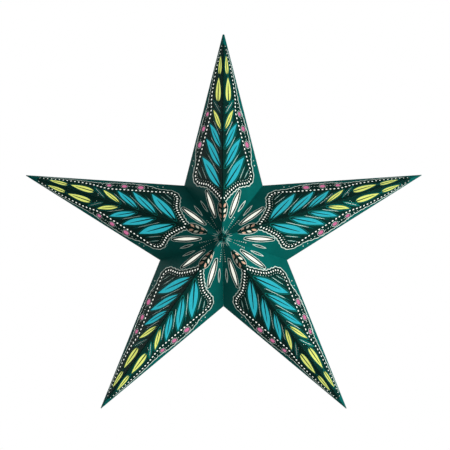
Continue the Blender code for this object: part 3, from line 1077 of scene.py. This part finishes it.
border = evenly(BORDER, LINE_PITCH)
border_share = run_of(border) / BORDER_LENGTH
edge_half = np.interp(border_share, *smooth(EDGE_HALVES).T)
waves = round(BORDER_LENGTH / WAVE_PITCH)
wave = WAVE_RISE * (1 - WAVE_FADE * border_share) * np.sin(math.pi * waves * border_share) ** 2
OUTER_LINE = beside(border, edge_half + wave)
dark_field = np.vstack([[OUTER_LINE[0, 0] - FILM, RIDGE_MARGIN], OUTER_LINE,
                        [OUTER_LINE[-1, 0] + RIDGE_MARGIN, RIDGE_MARGIN]])
field_holes = [grown(sides, FIELD_GAP) for sides in LEAVES + DROPS + BERRIES]
field_holes += [whole(sides) for sides in HUSKS]
eye = np.vstack([polar(*EYE_FOOT), polar(EYE_RADIUS, np.linspace(*EYE_TURNS, EYE_POINTS))])
dark_shapes = [film(dark_field, *field_holes, *pins(PIN_GAP)),
               film(grown(PETAL, PETAL_MARGIN), grown(PETAL, FIELD_GAP)),
               film(whole(SEED)), film(BUD_FIELD), film(eye)]
dark_shapes += [film(whole(sides)) for sides in RIBS]
DARK_PRINT = joined(dark_shapes)
print("waves of the edge line:", waves, "dark fields and ribs:", len(dark_shapes))

# %% [markdown]
# Each line is a ribbon along a path. A ring runs round a window at a distance from it. The edge
# line is the broadest and gets finer towards the tip. The midrib of a husk stops short of both its
# ends. A ray has an angle from the ridge, and two distances from the star's point, where it starts
# and ends.

# %% The silver and green lines
EDGE_LINE = 0.00078
EDGE_LINE_AT_TIP = 0.00045
EDGE_FADE = (0.6, 1)
EDGE_SPAN = (0.004, 0.99)
BUD_SPAN = (0.04, 0.96)
LINE = 0.00055
FINE = 0.00036
LINE_RISE = 0.00018
LINE_TAPER = 0.003
FINE_TAPER = 0.004
LEAF_RING = 0.0017
SMALL_RING = 0.0015
MIDRIB_SPAN = (1 / 11, 9 / 11)
MIDRIB_POINTS = 9
RAYS = ((7, 0.0074, 0.0170), (20, 0.0074, 0.0125), (33, 0.0074, 0.0190))
RAY_POINTS = 8


def stretch(path, span):
    """The part of a path between two shares of its length, with a point each millimetre."""
    start, end = run_of(path)[-1] * np.array(span)
    return points_at(path, np.arange(start, end, LINE_PITCH))


green_loops = [(sides, LEAF_RING, LINE) for sides in LEAVES]
green_loops += [(sides, SMALL_RING, FINE) for sides in DROPS]
green_loops += [(HUSKS[-1], 0.0, LINE)]
silver_loops = [(sides, SMALL_RING, FINE) for sides in BERRIES]
silver_loops += [(PETAL, PETAL_MARGIN, LINE), (SEED, 0.0, LINE)]
green, silver = ([ribbon(grown(sides, distance), half, LINE_RISE, CARD, closed=True)
                  for sides, distance, half in rows] for rows in (green_loops, silver_loops))
edge_path = stretch(OUTER_LINE, EDGE_SPAN)
edge_width = np.interp(np.linspace(0, 1, len(edge_path)), EDGE_FADE, (EDGE_LINE, EDGE_LINE_AT_TIP))
for path, width in ((edge_path, edge_width), (stretch(BUD_FIELD, BUD_SPAN), LINE)):
    silver.append(ribbon(path, width, LINE_RISE, CARD, taper=LINE_TAPER))
midrib_at = np.linspace(*MIDRIB_SPAN, MIDRIB_POINTS)[:, None]
fine_paths = [on_facet(foot + (np.array(tip) - foot) * midrib_at) for foot, tip, _ in HUSK_SHARES]
fine_paths += [polar(np.linspace(start, end, RAY_POINTS), turn) for turn, start, end in RAYS]
silver += [ribbon(path, FINE, LINE_RISE, CARD, taper=FINE_TAPER) for path in fine_paths]
PRINT_LINES = joined(silver + green)
line_slots = slots_of(silver + green, [0] * len(silver) + [1] * len(green))
print("lines to a facet:", len(silver), "silver and", len(green), "green")

# %% [markdown]
# Loose silver dots stand in the berries' margin and round the motifs, each at a place in shares
# with a radius of its own. A row of dots follows the pinholes round the foot of the leaves, and
# another runs out from the star's point beside the valley.

# %% Silver dots, and small petals in peach and cream
DOT_RISE = 0.0002
LOOSE_DOTS = (
    (0.349, 0.553, 0.0011), (0.330, 0.572, 0.0008), (0.367, 0.535, 0.0008), (0.448, 0.455, 0.0011),
    (0.430, 0.473, 0.0008), (0.466, 0.437, 0.0008), (0.252, 0.645, 0.0011), (0.226, 0.668, 0.0009),
    (0.204, 0.686, 0.0007), (0.538, 0.366, 0.0010), (0.560, 0.350, 0.0008), (0.150, 0.785, 0.0011),
    (0.181, 0.760, 0.0008), (0.607, 0.336, 0.0008), (0.604, 0.112, 0.0009), (0.610, 0.068, 0.0007),
)
INNER_ROW = 0.0043
INNER_ROW_END = 0.34
INNER_DOT = 0.00080
VALLEY_DOTS = 6
VALLEY_DOT_TURN = 6.0
VALLEY_DOT_SPAN = (0.024, 0.046)
VALLEY_DOT_RADII = (0.0005, 0.0010)
loose = np.array(LOOSE_DOTS)
inner_at = np.arange(PIN_PITCH * 2, INNER_ROW_END * BORDER_LENGTH, PIN_PITCH)
inner_left = points_at(BORDER, inner_at, normals(BORDER))
inner_row = points_at(BORDER, inner_at) - inner_left * INNER_ROW
valley_turn = math.degrees(math.atan2(NOTCH[1], NOTCH[0])) - VALLEY_DOT_TURN
valley_row = polar(np.linspace(*VALLEY_DOT_SPAN, VALLEY_DOTS), valley_turn)
places = np.vstack([on_facet(loose[:, :2]), inner_row, valley_row])
radii = np.r_[loose[:, 2], np.full(len(inner_row), INNER_DOT),
              np.linspace(*VALLEY_DOT_RADII, VALLEY_DOTS)]
SILVER_DOTS = domes(places, radii, DOT_RISE, CARD)
bud = [film(whole(sides), layers=2) for sides in BUD]

print_layers = {"dark_print": (DARK_PRINT, [DARK], None),
                "print_lines": (PRINT_LINES, [SILVER, GREEN], line_slots),
                "silver_dots": (SILVER_DOTS, [SILVER], None),
                "small_petals": (joined(bud), [PEACH, CREAM], slots_of(bud, [0, 1, 0]))}
for on in FACETS.values():
    for layer, (shape, looks, slots) in print_layers.items():
        laid_on(on, layer, shape, looks, slots)
print("print triangles to a facet:", {k: len(layer[0][1]) for k, layer in print_layers.items()})

# %% [markdown]
# ## The folds
#
# A scored card bends round its fold line: in section it is an arc of the card's own thickness
# about the hinge. Two cards that only touched there would show a bright crack, so a strip hangs
# between the two facets that meet. A valley is pressed thinner on its inner side, which leaves room
# for the flanges of the seam when the star lies flat.

# %% A strip of card round a fold line
PRESSED_CARD = 0.0003


def arc_strip(one, other, start, end, outside, shares=(0.0, 1.0), steps=8, rows=24):
    """A bent strip along a crease, whose fold line may lie outside the card. Its section is the
    ring between two radii round the fold line, from one facet's normal to the other's, or between
    two shares of that turn. Also returns, for each point, its distance from the star's point and
    its share of the turn."""
    a, b = one["axes"][2], other["axes"][2]
    middle = unit(a + b)
    rise = middle.dot(a)
    near = OUTER_FOLD if outside else INNER_FOLD
    shift = middle * (CARD + OUTER_FOLD) / rise if outside else -middle * INNER_FOLD / rise
    turn = math.acos(np.clip(a.dot(b), -1, 1))
    share = np.linspace(*shares, steps + 1)[:, None]
    way = (np.sin((1 - share) * turn) * a + np.sin(share * turn) * b) / math.sin(turn)
    way = -way if outside else way
    thick = PRESSED_CARD if outside else CARD
    section = np.vstack([way * near, (way * (near + thick))[::-1]]) + shift
    along = start + (end - start) * np.linspace(0, 1, rows + 1)[:, None]
    points = (along[:, None] + section[None]).reshape(-1, 3)
    count = len(section)
    triangles = np.vstack([grid_triangles(rows + 1, count, wrap_columns=True),
                           fan(np.arange(count))[:, ::-1], fan(np.arange(count) + rows * count)])
    across = np.r_[share[:, 0], share[::-1, 0]]
    lengths = np.linalg.norm(along - one["point"], axis=1)
    flat = np.stack(np.broadcast_arrays(lengths[:, None], across[None]), -1)
    return (*outwards(points, triangles), flat.reshape(-1, 2))


plain_fold = arc_strip(SAMPLE, FACETS["right_ccw_front"], SAMPLE["point"], SAMPLE["tip"], False)
print("triangles in a strip:", len(plain_fold[1]))

# %% [markdown]
# The print runs on over a ridge, so the strip on it changes colour where the eye, the small field
# and the dark field start and end. Along its crest a painted highlight makes the green a paler,
# broken line.

# %% The looks of the folds
FOLD_FIBRE_SCALE = FIBRE_SCALE / 3
FOLD_ROUGHNESS = 0.5
# Painted highlight: the paler green along the crest of every fold.
CREST_HIGHLIGHT_GREEN = (0.03, 0.22, 0.19)
GREEN_FOLD = (0.0012, 0.115, 0.100)
DARK_FOLD = (0.0010, 0.015, 0.012)


def fold_look(name, colours):
    """Printed card with a painted highlight: paler in a fine broken line along the crest of the
    fold.
    Its colours change at lengths along the fold, each given with the length up to which it reaches."""
    made, nodes, links = material(name)
    shader = nodes["Principled BSDF"]
    length, turn = facet_place(nodes, links)
    fibre = noise(nodes, links, FOLD_FIBRE_SCALE, detail=5, roughness=0.7)
    crest = arithmetic(nodes, links, "PINGPONG", turn, 0.5)
    painted_highlight = arithmetic(nodes, links, "MULTIPLY", crest, fibre)
    highlight_share = ramp(nodes, links, painted_highlight, [(0.20, (0, 0, 0)), (0.36, (0.5, 0.5, 0.5))])
    starts = [0.0, *[reach / RIDGE for reach, _ in colours[:-1]]]
    stops = [(start, colour) for start, (_, colour) in zip(starts, colours)]
    printed = ramp(nodes, links, arithmetic(nodes, links, "DIVIDE", length, RIDGE), stops,
                   "CONSTANT")
    feed(links, shader, {
        "Base Color": mixed(nodes, links, highlight_share, printed, CREST_HIGHLIGHT_GREEN),
        "Roughness": FOLD_ROUGHNESS,
        "Specular IOR Level": PRINT_GLOSS,
    })
    bumped(nodes, links, shader, fibre, BARE_RELIEF, strength=0.5)
    return made


bud_start, bud_end = BUD_FIELD[0, 0], BUD_FIELD[-1, 0]
FOLD_LOOKS = {
    "plain": fold_look("folded_card", [(RIDGE, GREEN_FOLD)]),
    "ridge": fold_look("folded_print", [(EYE_RADIUS, DARK_FOLD), (bud_start, GREEN_FOLD),
                                        (bud_end, DARK_FOLD), (dark_field[0, 0], GREEN_FOLD),
                                        (dark_field[-1, 0], DARK_FOLD), (RIDGE, GREEN_FOLD)]),
}
print("folds:", [look.name for look in FOLD_LOOKS.values()])

# %% [markdown]
# A strip stops a little before the star's point, the tip and the notch, where the pieces come
# close when the star is folded flat. In the top arm it stops at the nip for the cord.

# %% Lay a strip on every hinge
POINT_GAP = 0.0006
TIP_GAP = 0.0006
NOTCH_GAP = 0.0015


def crease_ends(one, kind, tip_gap=TIP_GAP):
    """Where the strip on a ridge, a valley or an outer edge of a facet starts and ends."""
    point, tip, notch = one["point"], one["tip"], one["notch"]
    nip = CORD_HOLE if one["arm"] == "top" else tip_gap
    ridge_way, valley_way, edge_way = unit(tip - point), unit(notch - point), unit(notch - tip)
    if kind == "ridge":
        return point + ridge_way * POINT_GAP, tip - ridge_way * nip
    if kind == "valley":
        return point + valley_way * POINT_GAP, notch - valley_way * NOTCH_GAP
    past_nip = nip / -edge_way.dot(ridge_way)
    return tip + edge_way * past_nip, notch - edge_way * CREASE_GAP


for joint in frame["joints"]:
    one, other = FACETS[joint["parent"]], FACETS[joint["child"]]
    kind = joint["name"].split("_")[-2]
    start, end = crease_ends(one, kind)
    points, triangles, flat = arc_strip(one, other, start, end, kind == "valley")
    look = FOLD_LOOKS["ridge" if kind == "ridge" else "plain"]
    strip = new_mesh(joint["name"].replace("_fold", "_crease"), points, triangles, [look])
    write_uv(strip, flat)
    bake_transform(strip)

# %% [markdown]
# The five back ridges carry no hinge, and part a little while the star folds up. A strip from side
# to side would tear there, so each side keeps its own half of the bend as a rounded lip.

# %% Rounded lips on the open back ridges
LIP_TIP_GAP = 0.0030
LIP_SHARES = (0.0, 0.49)
for arm in ARMS:
    halves = [FACETS[f"{arm}_ccw_back"], FACETS[f"{arm}_cw_back"]]
    for one, other in (halves, halves[::-1]):
        start, end = crease_ends(one, "ridge", LIP_TIP_GAP)
        points, triangles, flat = arc_strip(one, other, start, end, False, LIP_SHARES)
        lip = new_mesh(f"{one['name']}_ridge_lip", points, triangles, [FOLD_LOOKS["ridge"]])
        write_uv(lip, flat)
        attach(lip, one["name"])
print("lips:", 2 * len(ARMS))

# %% [markdown]
# ## The seam
#
# The star opens at its bottom valley. A flange is folded in on each side of it, and round hook and
# loop pads hold the flanges together. They are plain shapes deep in the valley, so the packed
# flanges and pads stay as they are and only get the looks of card and of nylon.

# %% Flanges and pads
SEAM_LOOKS = {
    "_flange": fibrous("flange_card", (0.0008, 0.100, 0.088), (0.0020, 0.145, 0.128)),
    "_hook_pad": fibrous("hook_pad_nylon", (0.66, 0.66, 0.63), (0.78, 0.78, 0.75)),
    "_loop_pad": fibrous("loop_pad_nylon", (0.48, 0.48, 0.46), (0.80, 0.80, 0.78)),
}
for name, node in frame["nodes"].items():
    for ending, look in SEAM_LOOKS.items():
        if name.endswith(ending):
            node.data.materials.clear()
            node.data.materials.append(look)
print("seam looks:", [look.name for look in SEAM_LOOKS.values()])

# %% [markdown]
# ## Studio
#
# The photograph looks almost straight at the star's front, from a little below it, in white
# surroundings. The scale of the photograph and the star's place in it set the lens and the point
# where the camera looks. The light comes from the right, so a large soft lamp stands there. The
# star also has to look right from behind, so a weaker lamp lights its back.

# %% Camera
PHOTO_SIDE = 450
PHOTO_CENTRE = (223.5, 239.5)
PHOTO_TIP_RADIUS = 208.4
CAMERA_DISTANCE = 3.0
CAMERA_WAY = (0.015, -1.0, -0.039)
VIEW_REACH = 20
METRES_PER_PIXEL = TIP_RADIUS / PHOTO_TIP_RADIUS
FRAME_WIDTH = PHOTO_SIDE * METRES_PER_PIXEL
across, up = (PHOTO_SIDE / 2 - PHOTO_CENTRE[0], PHOTO_CENTRE[1] - PHOTO_SIDE / 2)
aim = Vector((across * METRES_PER_PIXEL, 0, CENTRE_HEIGHT + up * METRES_PER_PIXEL))
camera_way = Vector(CAMERA_WAY).normalized()

lens = bpy.data.cameras.new("camera")
lens.lens = lens.sensor_width * CAMERA_DISTANCE / FRAME_WIDTH
lens.clip_end = VIEW_REACH
camera = bpy.data.objects.new("camera", lens)
camera.location = aim + camera_way * CAMERA_DISTANCE
camera.rotation_euler = camera_way.to_track_quat("Z", "Y").to_euler()
bpy.context.scene.collection.objects.link(camera)
bpy.context.scene.camera = camera
print("lens:", round(lens.lens, 1), "mm, frame", round(FRAME_WIDTH, 3), "m wide")

# %% Lamps
KEY_WAY = (0.80, -0.58, -0.06)
KEY_POWER = 33
BACK_WAY = (-0.70, 0.70, 0.12)
BACK_POWER = 22
LAMP_DISTANCE = 1.8
LAMP_SIZE = 1.1


def lamp(name, way, power):
    """A soft square lamp at a distance from the star's centre, turned to face it."""
    light = bpy.data.lights.new(name, "AREA")
    light.size = LAMP_SIZE
    light.energy = power
    thing = bpy.data.objects.new(name, light)
    thing.location = Vector(CENTRE) + Vector(way).normalized() * LAMP_DISTANCE
    thing.rotation_euler = Vector(way).to_track_quat("Z", "Y").to_euler()
    bpy.context.scene.collection.objects.link(thing)


lamp("key", KEY_WAY, KEY_POWER)
lamp("back", BACK_WAY, BACK_POWER)

# %% [markdown]
# A white sky would light the paper far too brightly. So the sky is white only to the camera and in
# reflections, which a Light Path node tells apart, and gives a lower level of light to the paper.
# The floor is pale, far below the star, and as white as the sky to the eye except in shade.

# %% Sky and floor
SKY = 0.15
FLOOR_DROP = 1.4
FLOOR_REACH = 6
FLOOR_CORNERS = ((-1, -1), (1, -1), (1, 1), (-1, 1))
FLOOR_LIFT = 0.82
FLOOR_GRAIN = 3
FLOOR_ROUGHNESS = 0.9


def seen_directly(nodes, links):
    """1 for rays from the camera, in reflections and through clear things, and 0 for the rest."""
    rays = nodes.new("ShaderNodeLightPath").outputs
    shown = arithmetic(nodes, links, "MAXIMUM", rays["Is Camera Ray"], rays["Is Glossy Ray"])
    return arithmetic(nodes, links, "MAXIMUM", shown, rays["Is Transmission Ray"])


world = bpy.data.worlds.new("studio")
world.use_nodes = True
bpy.context.scene.world = world
nodes, links = world.node_tree.nodes, world.node_tree.links
sky_light = spread(nodes, links, seen_directly(nodes, links), SKY, 1)
feed(links, nodes["Background"], {"Color": (1, 1, 1), "Strength": sky_light})

pale, nodes, links = material("pale_floor")
grain = noise(nodes, links, FLOOR_GRAIN)
feed(links, nodes["Principled BSDF"], {
    "Base Color": ramp(nodes, links, grain, [(0.3, (0.82, 0.82, 0.81)), (0.7, (0.86, 0.86, 0.85))]),
    "Roughness": FLOOR_ROUGHNESS,
    "Emission Color": (1, 1, 1),
    "Emission Strength": spread(nodes, links, seen_directly(nodes, links), 0, FLOOR_LIFT),
})
floor_height = CENTRE_HEIGHT - TIP_RADIUS - FLOOR_DROP
floor_corners = [(x * FLOOR_REACH, y * FLOOR_REACH, floor_height) for x, y in FLOOR_CORNERS]
floor_mesh = bpy.data.meshes.new("floor")
floor_mesh.from_pydata(floor_corners, [], [(0, 1, 2, 3)])
floor_mesh.materials.append(pale)
floor = bpy.data.objects.new("floor", floor_mesh)
bpy.context.scene.collection.objects.link(floor)

bpy.context.scene.view_settings.view_transform = "Standard"
print("sky:", SKY, "on the paper, floor", round(-floor_height, 2), "m below the cord hole")

# %% [markdown]
# ## Triangles
#
# The script ends by printing how many triangles the dressed pieces have.

# %% Count the triangles
print("triangles:", sum(len(piece.data.polygons) for piece in PIECES))
